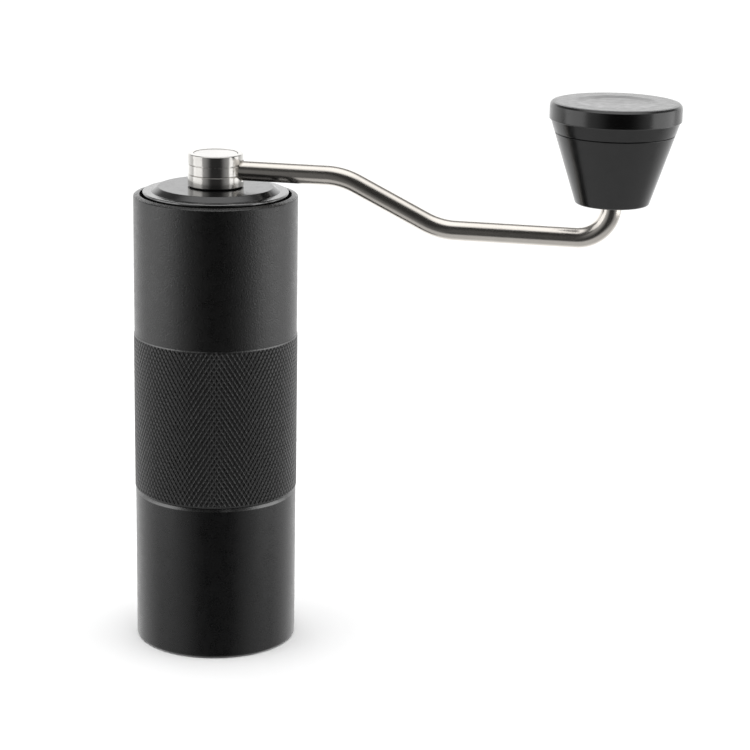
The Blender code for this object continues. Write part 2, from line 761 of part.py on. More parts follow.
def main():
    clear_scene()
    black = finish("black_anodised", (0.012, 0.012, 0.013), 0.42, 0.6)
    gloss = finish("black_lid", (0.015, 0.015, 0.016), 0.25, 0.5)
    plastic = finish("black_plastic", (0.014, 0.014, 0.015), 0.3, 0.0)
    polished = finish("polished_steel", (0.72, 0.70, 0.67), 0.14, 1.0)
    satin = finish("satin_steel", (0.60, 0.58, 0.55), 0.3, 1.0)
    burr_steel = finish("burr_steel", (0.42, 0.42, 0.43), 0.35, 1.0)
    alloy = finish("cast_alloy", (0.5, 0.5, 0.51), 0.45, 1.0)
    bronze = finish("bush_bronze", (0.55, 0.35, 0.16), 0.4, 1.0)
    rubber = finish("black_rubber", (0.02, 0.02, 0.02), 0.8, 0.0)

    lift_axis = axis("cup_thread_axis")
    body_axis = axis("body_axis", parent=lift_axis)
    shaft_axis = axis("shaft_axis", parent=body_axis)
    upper_cage_axis = axis("upper_cage_axis", parent=body_axis)
    lower_cage_axis = axis("lower_cage_axis", parent=body_axis)
    burr_axis = axis("burr_axis", parent=shaft_axis)
    dial_axis = axis("dial_axis", parent=burr_axis)
    lid_axis = axis("lid_axis", parent=body_axis)
    crank_axis = axis("crank_axis", parent=lid_axis)
    knob_axis = axis("knob_axis", CRANK_R, parent=crank_axis)

    make_cup(black)
    make_gasket(rubber, lift_axis)
    make_housing(black, body_axis)

    rim_low, rim_high = UPPER_SEAT_Z + 0.3, UPPER_SEAT_Z + 5.2
    rim = flat_ring(HOPPER_R - 2.0, HOPPER_R - 0.2, rim_low, rim_high)
    hub = bearing_hub(UPPER_BEARING_Z)
    make_bracket("upper_bracket", rim, hub, rim_low + 0.2, rim_high - 0.2, alloy, body_axis)
    ring = open_ring(20.6, HOPPER_R + 0.4, rim_high + 0.45, rim_high + 1.1, -1.2)
    add("upper_bracket_ring", ring, satin, body_axis)

    funnel_low, funnel_high = BURR_TOP + 1.0, LOWER_SEAT_Z - 0.3
    funnel = (
        (HOPPER_R - 0.2, funnel_low),
        (HOPPER_R - 0.2, funnel_high),
        (HOPPER_R - 0.8, funnel_high),
        (HOPPER_R - 2.7, funnel_low),
    )
    hub = bearing_hub(LOWER_BEARING_Z)
    arms_high = LOWER_BEARING_Z + BEARING_H - 0.4
    make_bracket("lower_bracket", funnel, hub, LOWER_BEARING_Z, arms_high, alloy, body_axis)
    ring = open_ring(20.0, HOPPER_R + 0.4, BURR_BOTTOM - 0.8, BURR_BOTTOM - 0.05, -1.2)
    add("burr_snap_ring", ring, satin, body_axis)

    make_bearing("upper_bearing", UPPER_BEARING_Z, satin, rubber, body_axis, shaft_axis, upper_cage_axis)
    make_bearing("lower_bearing", LOWER_BEARING_Z, satin, rubber, body_axis, shaft_axis, lower_cage_axis)
    make_shaft(satin, shaft_axis)
    make_burrs(burr_steel, body_axis, burr_axis)
    make_spring(satin, shaft_axis)
    make_dial(alloy, satin, burr_axis, dial_axis)
    make_lid(gloss, rubber, bronze, lid_axis)
    make_crank(polished, rubber, crank_axis)
    make_arm(satin, crank_axis)
    make_knob(plastic, bronze, knob_axis)
    pin_axis = axis("spindle_axis", CRANK_R, parent=crank_axis)
    make_knob_fixings(satin, pin_axis)


main()
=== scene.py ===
"""Hand crank coffee grinder: the visible surfaces, materials, light and camera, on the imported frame."""

import json
import math

import bmesh
import bpy
from mathutils import Matrix, Vector


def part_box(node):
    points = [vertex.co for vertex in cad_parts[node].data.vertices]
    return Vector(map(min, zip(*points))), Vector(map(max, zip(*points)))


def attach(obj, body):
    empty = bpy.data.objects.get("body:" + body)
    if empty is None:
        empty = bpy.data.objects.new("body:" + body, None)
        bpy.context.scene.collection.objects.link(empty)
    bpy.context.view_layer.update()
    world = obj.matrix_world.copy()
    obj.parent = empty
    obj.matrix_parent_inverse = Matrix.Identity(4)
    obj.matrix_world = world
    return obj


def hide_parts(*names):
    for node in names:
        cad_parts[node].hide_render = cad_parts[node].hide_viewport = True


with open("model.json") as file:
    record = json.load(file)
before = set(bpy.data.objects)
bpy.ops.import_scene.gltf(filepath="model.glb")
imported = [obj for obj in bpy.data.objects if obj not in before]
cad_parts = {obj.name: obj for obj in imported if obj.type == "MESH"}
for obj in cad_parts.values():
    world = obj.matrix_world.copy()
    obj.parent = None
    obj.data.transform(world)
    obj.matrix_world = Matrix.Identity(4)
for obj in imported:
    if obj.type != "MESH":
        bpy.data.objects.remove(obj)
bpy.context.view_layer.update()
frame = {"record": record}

MM = 0.001
BODIES = frame["record"]["behaviour"]["bodies"]
BODY_OF = {node: body for body, nodes in BODIES.items() for node in nodes}


def box_mm(node):
    low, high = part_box(node)
    return low / MM, high / MM


# Sizes in millimetres, from the frame where it holds them. R is a radius and Z a height. UPPER_CLIP
# and BURR_CLIP are the bottom and top of a retaining ring's groove, and each seat is where a bracket
# rests in the body
CUP_HIGH = box_mm("grounds_cup")[1]
TUBE_LOW, TUBE_HIGH = box_mm("housing")
LID_LOW, LID_HIGH = box_mm("lid")
HUB_LOW, HUB_HIGH = box_mm("crank_hub")
ARM_LOW, ARM_HIGH = box_mm("crank_arm")
CONE_LOW = box_mm("knob_body")[0]
CAP_LOW, CAP_HIGH = box_mm("knob_cap")
GASKET_HIGH = box_mm("spigot_gasket")[1]
CLIP_LOW, CLIP_HIGH = box_mm("hub_circlip")
SHAFT_LOW, SHAFT_HIGH = box_mm("drive_shaft")
BODY_R = CUP_HIGH.x
CUP_TOP = CUP_HIGH.z
BAND_BOTTOM = CUP_TOP + 0.3
BAND_TOP = 102.1
KNURL_R = TUBE_HIGH.x
RIM_TOP = TUBE_HIGH.z
RIM_DROP = 0.75
RIM_BORE_R = 24.0
RIM_LEDGE = 144.5
HOPPER_R = 22.0
CLIP_GROOVE_R = HOPPER_R + 0.6
STEP_R = 21.4
UPPER_SEAT = 115.9
LOWER_SEAT = 94.2
UPPER_CLIP = (121.4, 122.4)
BURR_CLIP = (61.0, 62.2)
FLANGE_TOP = 147.9
ARM_Z = 154.75
BEND_X = (40.9, 71.9)
BEND_R = (22.0, 22.0, 10.5)
ARM_LOW_Z = ARM_LOW.z + 2.8
CRANK_R = (CAP_LOW.x + CAP_HIGH.x) / 2
KNOB_TOP_R = (CAP_HIGH.x - CAP_LOW.x) / 2
KNOB_BOTTOM_R = 11.2
HUB_R = HUB_HIGH.x - 0.1
HEX_HALF = 3.45
SOCKET_HALF = 3.65

# The knurl: diamonds round the band, rows of them up it, and the V grooves between them, whose half
# width is a share of the pitch. The band has a chamfer, EDGE high, above and below the knurl
KNURL_LINES = 107
KNURL_ROWS = 20
GROOVE_DEPTH = 0.17
GROOVE_HALF = 0.2
EDGE = 0.5

# The burrs' teeth, and the points round the burrs for each tooth
BURR_TEETH = 20
TOOTH_STEPS = 12

# Straight runs over this length get a point this close to each end
LONG_RUN = 1.5
HOLD = 0.12

# An edge that turns by more than this stays sharp
SHARP = math.radians(28)

# The camera: its side of the object in degrees from +X, its place in metres, its turns about Z, X and
# its own Z in degrees, and its lens
FRONT = -74.5
CAMERA_PLACE = (0.19076, -0.68784, 0.2872)
CAMERA_TURNS = (11.376, 74.4, 1.067)
LENS = 109.97


# ---------------------------------------------------------------- shapes

def softened(outline, closed, steps=3):
    """The (radius, height) points of an outline, each corner with a third value rounded by it."""
    made = []
    count = len(outline)
    for i, (r, z, *fillet) in enumerate(outline):
        corner = Vector((r, z))
        if not fillet or (not closed and i in (0, count - 1)):
            made.append((r, z))
            continue
        before = Vector(outline[i - 1][:2]) - corner
        after = Vector(outline[(i + 1) % count][:2]) - corner
        half = before.angle(after) / 2
        reach = min(fillet[0] / math.tan(half), before.length * 0.49, after.length * 0.49)
        start = corner + before.normalized() * reach
        end = corner + after.normalized() * reach
        for k in range(steps + 1):
            t = k / steps
            point = start * (1 - t) ** 2 + 2 * corner * t * (1 - t) + end * t**2
            made.append((point.x, point.y))
    return held(made, closed)


def held(made, closed):
    """An outline with one more point close to each end of its long straight runs, to hold its shading."""
    points = []
    for i, point in enumerate(made):
        points.append(point)
        if i + 1 == len(made) and not closed:
            break
        run = Vector(made[(i + 1) % len(made)]) - Vector(point)
        if run.length > LONG_RUN:
            step = run.normalized() * HOLD
            points += [tuple(Vector(point) + step), tuple(Vector(point) + run - step)]
    return points


def even(sides):
    return [2 * math.pi * k / sides for k in range(sides)]


def ring_of(mesh, radius, z, angles, turn=0.0):
    """A ring of points about Z. The radius may be a function of the angle before the turn."""
    ring = []
    for angle in angles:
        r = radius(angle) if callable(radius) else radius
        ring.append(mesh.verts.new((r * math.cos(angle + turn), r * math.sin(angle + turn), z)))
    return ring


def join_rings(mesh, low, high):
    for k in range(len(low)):
        mesh.faces.new((low[k - 1], low[k], high[k], high[k - 1]))


def join_all(mesh, made):
    for low, high in zip(made, made[1:]):
        join_rings(mesh, low, high)


def fan(mesh, ring):
    """Closes a ring with triangles to its middle."""
    tip = mesh.verts.new(sum((v.co for v in ring), Vector()) / len(ring))
    for k in range(len(ring)):
        mesh.faces.new((ring[k - 1], ring[k], tip))


def turned(outline, sides, closed=True, mesh=None):
    """A surface turned about Z from an outline with optional corner radii, as a bmesh."""
    mesh = mesh or bmesh.new()
    made = [ring_of(mesh, r, z, even(sides)) for r, z in softened(outline, closed)]
    if closed:
        made.append(made[0])
    else:
        fan(mesh, made[0])
        fan(mesh, made[-1])
    join_all(mesh, made)
    return mesh


def swept(sections, closed=False, mesh=None):
    """A skin over sections, each a list of points, with flat ends unless it is closed, as a bmesh."""
    mesh = mesh or bmesh.new()
    made = [[mesh.verts.new(point) for point in section] for section in sections]
    if closed:
        made.append(made[0])
    else:
        mesh.faces.new(made[0])
        mesh.faces.new(made[-1])
    join_all(mesh, made)
    return mesh


def polar(r, angle, z):
    return Vector((r * math.cos(angle), r * math.sin(angle), z))


def coil(radius, wire, low, high, turns, per_turn=64, sides=12):
    """A helical spring wire whose end coils lie flatter, as a bmesh."""
    sections = []
    steps = round(turns * per_turn)
    for i in range(steps + 1):
        z = low + (high - low) * i / steps
        section = [
            polar(radius + wire * math.cos(t), 2 * math.pi * i / per_turn, z + wire * math.sin(t))
            for t in even(sides)
        ]
        sections.append(section)
    return swept(sections)


def thread_ridge(mesh, wall, crest, start, turns, lead=2.0, per_turn=96):
    """Adds a right-hand helical ridge that stands out of a wall and fades in and out."""
    sunk, foot, tip, least = 0.3, 0.55, 0.24, 0.12
    outwards = math.copysign(1, crest - wall)
    steps = round(turns * per_turn)
    sections = []
    for i in range(steps + 1):
        angle = 2 * math.pi * i / per_turn
        z = start + lead * i / per_turn
        full = max(least, min(1.0, 4 * i / per_turn, 4 * (steps - i) / per_turn))
        inner, outer = wall - outwards * sunk, wall + full * (crest - wall)
        shoulder = outer - outwards * 0.1 * full
        section = (
            (inner, -foot),
            (shoulder, -tip - 0.07),
            (outer, -tip),
            (outer, tip),
            (shoulder, tip + 0.07),
            (inner, foot),
        )
        sections.append([polar(r, angle, z + dz) for r, dz in section])
    swept(sections, mesh=mesh)


def open_ring(inner, outer, low, high, lug, gap=34, steps=120):
    """A retaining ring with a gap at +Y, whose ends are lug wider, inwards if lug is negative."""
    sections = []
    edge, lug_end, lug_steep = 0.08, 0.075, 60
    for i in range(steps + 1):
        t = i / steps
        angle = math.radians(90 + gap / 2 + (360 - gap) * t)
        wide = lug * max(0.0, min(1.0, (lug_end - min(t, 1 - t)) * lug_steep))
        r_in, r_out = inner + min(wide, 0.0), outer + max(wide, 0.0)
        corners = (
            (r_in, low + edge),
            (r_in + edge, low),
            (r_out - edge, low),
            (r_out, low + edge),
            (r_out, high - edge),
            (r_out - edge, high),
            (r_in + edge, high),
            (r_in, high - edge),
        )
        sections.append([polar(r, angle, z) for r, z in corners])
    return swept(sections)


def arc_path(corners, bends, steps):
    """Points along a bent line whose inner corners are arcs of the given radii."""
    path = [corners[0]]
    for before, corner, after, bend in zip(corners, corners[1:], corners[2:], bends):
        way_in = (corner - before).normalized()
        way_out = (after - corner).normalized()
        turn = way_in.angle(way_out)
        centre = corner + (way_out - way_in).normalized() * bend / math.cos(turn / 2)
        first = (corner - way_in * bend * math.tan(turn / 2) - centre).normalized()
        last = (corner + way_out * bend * math.tan(turn / 2) - centre).normalized()
        for i in range(steps + 1):
            path.append(centre + bend * first.slerp(last, i / steps))
    return path + [corners[-1]]


def bar(path, radius, sides):
    """A round bar along a path in the XZ plane, as a bmesh, with UVs round it and along it."""
    mesh = bmesh.new()
    layer = mesh.loops.layers.uv.new("bar")
    made, along, far = [], [], 0.0
    for i, point in enumerate(path):
        ahead = (path[min(i + 1, len(path) - 1)] - path[max(i - 1, 0)]).normalized()
        side = Vector((0, 1, 0))
        up = side.cross(ahead)
        far += (point - path[i - 1]).length if i else 0.0
        along.append(far)
        ring = [point + radius * (math.cos(t) * up + math.sin(t) * side) for t in even(sides)]
        made.append([mesh.verts.new(place) for place in ring])
    for i, (low, high) in enumerate(zip(made, made[1:])):
        for k in range(sides):
            face = mesh.faces.new((low[k - 1], low[k], high[k], high[k - 1]))
            left, right = (k if k else sides) - 1, k if k else sides
            places = ((left, i), (right, i), (right, i + 1), (left, i + 1))
            for loop, (u, v) in zip(face.loops, places):
                loop[layer].uv = (u / sides, along[v] / 100)
    for ring in (made[0], made[-1]):
        mesh.faces.new(ring)
    return mesh


def moved(mesh, x):
    bmesh.ops.translate(mesh, vec=(x, 0, 0), verts=mesh.verts)
    return mesh


def to_object(name, mesh):
    bmesh.ops.recalc_face_normals(mesh, faces=mesh.faces)
    bmesh.ops.scale(mesh, vec=(MM, MM, MM), verts=mesh.verts)
    data = bpy.data.meshes.new(name)
    mesh.to_mesh(data)
    mesh.free()
    obj = bpy.data.objects.new(name, data)
    bpy.context.scene.collection.objects.link(obj)
    return obj


def piece(name, mesh, material, node, cutter=None):
    """Makes a bmesh in millimetres into the visible piece of a CAD node, less an optional cutter."""
    obj = to_object(name, mesh)
    if cutter:
        tool = to_object(name + "_cut", cutter)
        modifier = obj.modifiers.new("cut", "BOOLEAN")
        modifier.operation = "DIFFERENCE"
        modifier.object = tool
        graph = bpy.context.evaluated_depsgraph_get()
        cut = bpy.data.meshes.new_from_object(obj.evaluated_get(graph))
        obj.modifiers.clear()
        whole = obj.data
        obj.data = cut
        bpy.data.meshes.remove(whole)
        bpy.data.objects.remove(tool)
    obj.data.shade_smooth()
    obj.data.set_sharp_from_angle(angle=SHARP)
    obj.data.materials.clear()
    obj.data.materials.append(material)
    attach(obj, BODY_OF[node])
    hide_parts(node)
    return obj


# ---------------------------------------------------------------- body, cup, lid

def knurl(mesh, low, high):
    """The knurled band: diamonds between crossing V grooves. It returns the bottom and the top edge."""
    pitch = 2 * math.pi / KNURL_LINES
    rows = 2 * KNURL_ROWS
    rise = (high - low) / rows
    root, inset = KNURL_R - GROOVE_DEPTH, GROOVE_HALF

    def at(a, j, r):
        return mesh.verts.new(polar(r, a * pitch, low + j * rise))

    crossings = [[at(k + j % 2 / 2, j, root) for k in range(KNURL_LINES)] for j in range(rows + 1)]
    edges = []
    for j in range(rows + 1):
        odd = j % 2
        edge = []
        for k in range(KNURL_LINES):
            a = k + (1 - odd) / 2
            left, right = crossings[j][k - odd], crossings[j][(k - odd + 1) % KNURL_LINES]
            left_in = at(a - 0.5 + inset, j, KNURL_R)
            right_in = at(a + 0.5 - inset, j, KNURL_R)
            for step in (-1, 1):
                if not 0 <= j + step <= rows:
                    continue
                tip = crossings[j + step][k]
                tip_in = at(a, j + step * (1 - 2 * inset), KNURL_R)
                mesh.faces.new((left, tip, tip_in, left_in))
                mesh.faces.new((tip, right, right_in, tip_in))
                mesh.faces.new((left_in, tip_in, right_in))
            edge += [left, left_in, right_in]
        edges.append(edge)
    return edges[0], edges[-1]


def clip_groove(heights):
    """The outline of a retaining ring's groove in the bore, from its upper to its lower edge."""
    low, high = heights
    return [(HOPPER_R, high), (CLIP_GROOVE_R, high), (CLIP_GROOVE_R, low), (HOPPER_R, low)]


def make_tube(material):
    """The body: a plain upper part, the knurled band, the spigot and the bores."""
    mesh = bmesh.new()
    bottom, top = knurl(mesh, BAND_BOTTOM + EDGE, BAND_TOP - EDGE)
    shares = (0, GROOVE_HALF, 1 - GROOVE_HALF)
    angles = [2 * math.pi * (k + a) / KNURL_LINES for k in range(KNURL_LINES) for a in shares]
    outline = [
        (KNURL_R - 0.01, BAND_TOP - EDGE + 0.04),
        (KNURL_R - 0.11, BAND_TOP - 0.07),
        (KNURL_R - 0.12, BAND_TOP - 0.05),
        (BODY_R, BAND_TOP - 0.04),
        (BODY_R, RIM_TOP - RIM_DROP, 0.45),
        (RIM_BORE_R, RIM_TOP - 0.2, 0.25),
        (RIM_BORE_R, RIM_LEDGE),
        (HOPPER_R, RIM_LEDGE, 0.2),
        *clip_groove(UPPER_CLIP),
        (HOPPER_R, UPPER_SEAT),
        (STEP_R, UPPER_SEAT),
        (STEP_R, LOWER_SEAT),
        (HOPPER_R, LOWER_SEAT),
        *clip_groove(BURR_CLIP),
        (HOPPER_R, TUBE_LOW.z, 0.2),
        (23.3, TUBE_LOW.z, 0.4),
        (23.3, GASKET_HIGH.z + 0.25),
        (25.5, GASKET_HIGH.z + 0.25),
        (25.5, BAND_BOTTOM),
        (KNURL_R - 0.12, BAND_BOTTOM),
        (KNURL_R - 0.11, BAND_BOTTOM + 0.03),
        (KNURL_R - 0.01, BAND_BOTTOM + EDGE - 0.04),
    ]
    made = [top] + [ring_of(mesh, r, z, angles) for r, z in softened(outline, False)] + [bottom]
    join_all(mesh, made)
    thread_ridge(mesh, 23.3, 24.2, 43.4, 2.7)
    piece("body_tube", mesh, material, "housing")


def make_cup(material):
    outline = [
        (BODY_R - 5, 0.0),
        (BODY_R, 0.0, 0.7),
        (BODY_R, CUP_TOP - 1.05),
        (BODY_R - 0.02, CUP_TOP - 1.0),
        (BODY_R - 0.4, CUP_TOP - 0.05),
        (BODY_R - 0.45, CUP_TOP),
        (24.5, CUP_TOP, 0.15),
        (24.5, 42.2),
        (23.6, 41.3),
        (23.6, 2.6, 2.2),
        (18.0, 2.6),
    ]
    mesh = turned(outline, 256, closed=False)
    thread_ridge(mesh, 24.5, 23.6, 44.4, 2.3)
    piece("cup_shell", mesh, material, "grounds_cup")


def make_lid(material):
    plug = HOPPER_R - 0.4
    low = LID_LOW.z
    outline = [
        (7.6, low),
        (10.5, low, 0.2),
        (10.5, low + 2.6, 0.3),
        (19.3, low + 2.6, 0.3),
        (19.3, low, 0.2),
        (plug, low, 0.3),
        (plug, low + 0.9),
        (plug - 0.7, low + 0.9),
        (plug - 0.7, low + 2.1),
        (plug, low + 2.1),
        (plug, 144.8),
        (LID_HIGH.x, 144.8, 0.1),
        (LID_HIGH.x, FLANGE_TOP, 0.5),
        (20.3, FLANGE_TOP, 0.5),
        (18.3, LID_HIGH.z, 0.6),
        (7.6, LID_HIGH.z, 0.1),
    ]
    piece("lid_disc", turned(outline, 256), material, "lid")


# ---------------------------------------------------------------- crank and knob

def hexagon(half):
    """The radius, by angle, of a hexagon that measures twice half across its flats."""
    sixth = math.pi / 3
    return lambda angle: half / math.cos(angle % sixth - sixth / 2)


def make_hub(material):
    """The hub, with a hexagon socket under it and a flared cross hole for the rod. The close rings on
    its three sections hold their shading beside that hole."""
    top, low, neck, sides = HUB_HIGH.z, 149.8, 6.0, 192
    outline = [
        (neck - 0.1, HUB_LOW.z),
        (neck, HUB_LOW.z + 0.2),
        (neck, CLIP_LOW.z - 0.1),
        (neck - 0.6, CLIP_LOW.z - 0.1),
        (neck - 0.6, CLIP_HIGH.z + 0.1),
        (neck, CLIP_HIGH.z + 0.1),
        (neck, low),
        (HUB_R + 0.1, low, 0.12),
        *[(HUB_R + 0.1, low + 0.3 * k) for k in range(1, 11)],
        (HUB_R + 0.1, 153.28, 0.12),
        (HUB_R - 0.25, 153.42),
        (HUB_R - 0.13, 153.6, 0.08),
        *[(HUB_R - 0.13, 153.75 + 0.3 * k) for k in range(9)],
        (HUB_R - 0.13, 156.42, 0.08),
        (HUB_R - 0.5, 156.45),
        (HUB_R - 0.5, 156.7),
        (HUB_R, 156.75, 0.1),
        *[(HUB_R, 157.0 + 0.3 * k) for k in range(6)],
        (HUB_R, top, 0.45),
        (7.0, top, 0.12),
        (7.0, top - 1.2, 0.2),
        (5.0, top - 1.2),
    ]
    mesh = bmesh.new()
    socket = [ring_of(mesh, hexagon(SOCKET_HALF), z, even(sides)) for z in (HUB_LOW.z + 10.9, HUB_LOW.z)]
    made = socket + [ring_of(mesh, r, z, even(sides)) for r, z in softened(outline, False)]
    join_all(mesh, made)
    fan(mesh, made[0])
    fan(mesh, made[-1])
    hole_r, flare = 3.2, 0.25

    def mouth(t):
        return math.sqrt(HUB_R**2 - (hole_r * math.sin(t)) ** 2)

    sections = []
    for reach, wide in ((None, 0.0), (-flare, 0.0), (flare, 2 * flare)):
        section = []
        for t in even(96):
            x = -6.2 if reach is None else mouth(t) + reach
            r = hole_r + wide
            section.append(Vector((x, r * math.sin(t), ARM_Z + r * math.cos(t))))
        sections.append(section)
    piece("hub_turned", mesh, material, "crank_hub", swept(sections))
    cap = [(5.0, top - 1.05), (6.85, top - 1.05), (6.85, top - 0.12, 0.12), (5.0, top - 0.12)]
    piece("hub_cap_disc", turned(cap, 128, closed=False), material, "hub_cap")


def make_rod(material):
    """The bent rod, with the spindle for the knob at its end."""
    radius = (ARM_HIGH.y - ARM_LOW.y) / 2 + 0.1
    shoulder = CONE_LOW.z + 1.5
    corners = [
        Vector((-5.9, 0, ARM_Z)),
        Vector((BEND_X[0], 0, ARM_Z)),
        Vector((BEND_X[1], 0, ARM_LOW_Z)),
        Vector((CRANK_R, 0, ARM_LOW_Z)),
        Vector((CRANK_R, 0, shoulder)),
    ]
    mesh = bar(arc_path(corners, BEND_R, 20), radius, 64)
    end, well = ARM_HIGH.z, ARM_HIGH.z - 10.2
    spindle = [(2.4, shoulder - 0.5), (2.4, end, 0.2), (1.7, end, 0.1), (1.7, well)]
    moved(mesh, -CRANK_R)
    turned(spindle, 48, closed=False, mesh=mesh)
    piece("crank_rod", moved(mesh, CRANK_R), material, "crank_arm")


def make_knob(material):
    top = CAP_HIGH.z
    seam, shoulder = CAP_LOW.z + 2.5, 176.8
    cone = [
        (4.5, CONE_LOW.z, 0.3),
        (KNOB_BOTTOM_R, CONE_LOW.z, 0.7),
        (18.2, seam - 0.25, 0.12),
        (16.2, seam - 0.25),
        (10.0, CONE_LOW.z + 2.5),
        (6.6, CONE_LOW.z + 2.5),
        (6.6, 168.6),
        (4.5, 168.6),
    ]
    piece("knob_cone", moved(turned(cone, 192), CRANK_R), material, "knob_body")
    band = [
        (13.4, 178.8),
        (13.4, 170.4),
        (14.7, 170.4),
        (15.0, seam),
        (18.3, seam, 0.12),
        (19.52, shoulder - 0.05, 0.1),
        (KNOB_TOP_R, shoulder + 0.05, 0.3),
        (KNOB_TOP_R, top, 1.6),
        (12.6, top - 0.02, 3.0),
        (9.4, top - 0.3, 4.0),
        (3.0, top - 0.42),
    ]
    piece("knob_band", moved(turned(band, 192, closed=False), CRANK_R), material, "knob_cap")


# ---------------------------------------------------------------- inside

def make_rings(finishes):
    """The plain rings: gasket, washers, bushes, bearing rings and shields."""
    plain = (
        ("spigot_gasket", 23.7, "rubber", 0.15),
        ("hub_washer", 6.2, "rubber", 0.05),
        ("lid_bush", 6.2, "bronze", 0.15),
        ("spring_washer", 4.35, "steel", 0.1),
        ("upper_bearing_outer_ring", 7.0, "steel", 0.25),
        ("upper_bearing_inner_ring", 4.2, "steel", 0.2),
        ("upper_bearing_top_shield", 5.5, "rubber", 0.08),
        ("upper_bearing_bottom_shield", 5.5, "rubber", 0.08),
        ("lower_bearing_outer_ring", 7.0, "steel", 0.25),
        ("lower_bearing_inner_ring", 4.2, "steel", 0.2),
        ("lower_bearing_top_shield", 5.5, "rubber", 0.08),
        ("lower_bearing_bottom_shield", 5.5, "rubber", 0.08),
        ("knob_lower_bush", 2.6, "bronze", 0.25),
        ("knob_upper_bush", 2.6, "bronze", 0.25),
        ("knob_thrust_washer", 2.6, "steel", 0.1),
        ("knob_top_washer", 1.9, "steel", 0.1),
    )
    for node, inner, finish, edge in plain:
        low, high = box_mm(node)
        outer = (high.x - low.x) / 2
        outline = [(inner, low.z, edge), (outer, low.z, edge), (outer, high.z, edge), (inner, high.z, edge)]
        mesh = moved(turned(outline, 128), (low.x + high.x) / 2)
        piece(node + "_turned", mesh, finishes[finish], node)


def make_seal(material):
    low, high = box_mm("lid_seal")
    middle, thick = (low.z + high.z) / 2, (high.z - low.z) / 2
    wide = 0.35
    pitch_r = high.x - wide
    sections = [
        [polar(pitch_r + wide * math.cos(t), a, middle + thick * math.sin(t)) for t in even(16)]
        for a in even(192)
    ]
    piece("lid_o_ring", swept(sections, closed=True), material, "lid_seal")


def make_clips(material):
    for node, inner, outer, lug in (
        ("upper_bracket_ring", 20.6, HOPPER_R + 0.4, -1.2),
        ("burr_snap_ring", 20.0, HOPPER_R + 0.4, -1.2),
        ("shaft_circlip", 3.7, 5.6, 1.2),
        ("hub_circlip", 5.6, 8.0, 1.0),
    ):
        low, high = box_mm(node)
        piece(node + "_bent", open_ring(inner, outer, low.z, high.z, lug), material, node)


def make_cages(material):
    """The ring of balls and their cage in each bearing."""
    balls, ball_r, wire, pitch = 7, 0.7, 0.3, 6.15

    def bulge(angle):
        spacing = 2 * math.pi / balls
        off = (angle + spacing / 2) % spacing - spacing / 2
        return math.sqrt(max(wire**2, ball_r**2 - (pitch * off) ** 2))

    for side in ("upper", "lower"):
        node = side + "_bearing_ball_cage"
        low, high = box_mm(node)
        middle = (low.z + high.z) / 2
        sections = [
            [polar(pitch + bulge(a) * math.cos(t), a, middle + bulge(a) * math.sin(t)) for t in even(16)]
            for a in even(balls * 36)
        ]
        piece(node + "_round", swept(sections, closed=True), material, node)


def make_bracket(name, rim, hub, arm, material):
    """A bearing bracket: a rim and a hub joined by three arms with sloping sides."""
    mesh = turned(rim, 192)
    turned(hub, 128, mesh=mesh)
    low, high = arm
    section = (
        (-2.5, low),
        (2.5, low),
        (1.75, high - 0.3),
        (1.4, high),
        (-1.4, high),
        (-1.75, high - 0.3),
    )
    for k in range(3):
        angle = math.radians(120 * k + 60)
        along = Vector((math.cos(angle), math.sin(angle), 0))
        across = Vector((-math.sin(angle), math.cos(angle), 0))
        ends = [[along * r + across * y + Vector((0, 0, z)) for y, z in section] for r in (8.9, 21.3)]
        swept(ends, mesh=mesh)
    piece(name + "_cast", mesh, material, name)


def make_brackets(material):
    def hub(z):
        return [
            (9.8, z - 0.8, 0.3),
            (9.8, z + 5.3, 0.3),
            (8.0, z + 5.3, 0.15),
            (8.0, z - 0.2),
            (7.2, z - 0.2, 0.1),
            (7.2, z - 0.8, 0.2),
        ]

    upper, lower = UPPER_SEAT, 86.2
    low, high = upper + 0.3, upper + 5.2
    rim = [(20.0, low, 0.3), (21.8, low, 0.3), (21.8, high, 0.3), (20.0, high, 0.3)]
    make_bracket("upper_bracket", rim, hub(upper), (low + 0.2, high - 0.2), material)
    funnel = [(21.8, 80.0, 0.2), (21.8, 93.9, 0.1), (21.2, 93.9, 0.1), (19.3, 80.0, 0.3)]
    make_bracket("lower_bracket", funnel, hub(lower), (lower, lower + 4.6), material)


def make_shaft(material):
    """The shaft: hexagon ends, turned journals and a fine thread for the dial."""
    mesh = bmesh.new()
    angles = even(96)
    flats, core, pitch, depth = hexagon(HEX_HALF), 3.3, 1.0, 0.35
    made = [ring_of(mesh, core - 0.5, SHAFT_LOW.z, angles)]
    rows = 56
    for i in range(rows + 1):
        z = SHAFT_LOW.z + 0.4 + 6.6 * i / rows
        fade = min(1.0, i / 6, (rows - i) / 6)

        def cut(angle, z=z, fade=fade):
            wave = abs(2 * ((z / pitch - angle / (2 * math.pi)) % 1.0) - 1)
            return core - depth * fade * wave

        made.append(ring_of(mesh, cut, z, angles))
    clip = 121.2
    outline = [
        (core, 58.4),
        (flats, 58.4),
        (flats, 82.2),
        (4.0, 82.4),
        (4.0, 83.7),
        (5.4, 83.7, 0.15),
        (5.4, 85.9, 0.15),
        (4.0, 85.9),
        (4.0, clip),
        (3.5, clip),
        (3.5, clip + 1.0),
        (4.0, clip + 1.0),
        (4.0, 133.9),
        (flats, 134.7),
        (flats, SHAFT_HIGH.z - 0.5),
        (hexagon(HEX_HALF - 0.5), SHAFT_HIGH.z),
    ]
    for radius, z, *_ in outline:
        made.append(ring_of(mesh, radius, z, angles))
    join_all(mesh, made)
    fan(mesh, made[0])
    fan(mesh, made[-1])
    piece("shaft_ground", mesh, material, "drive_shaft")


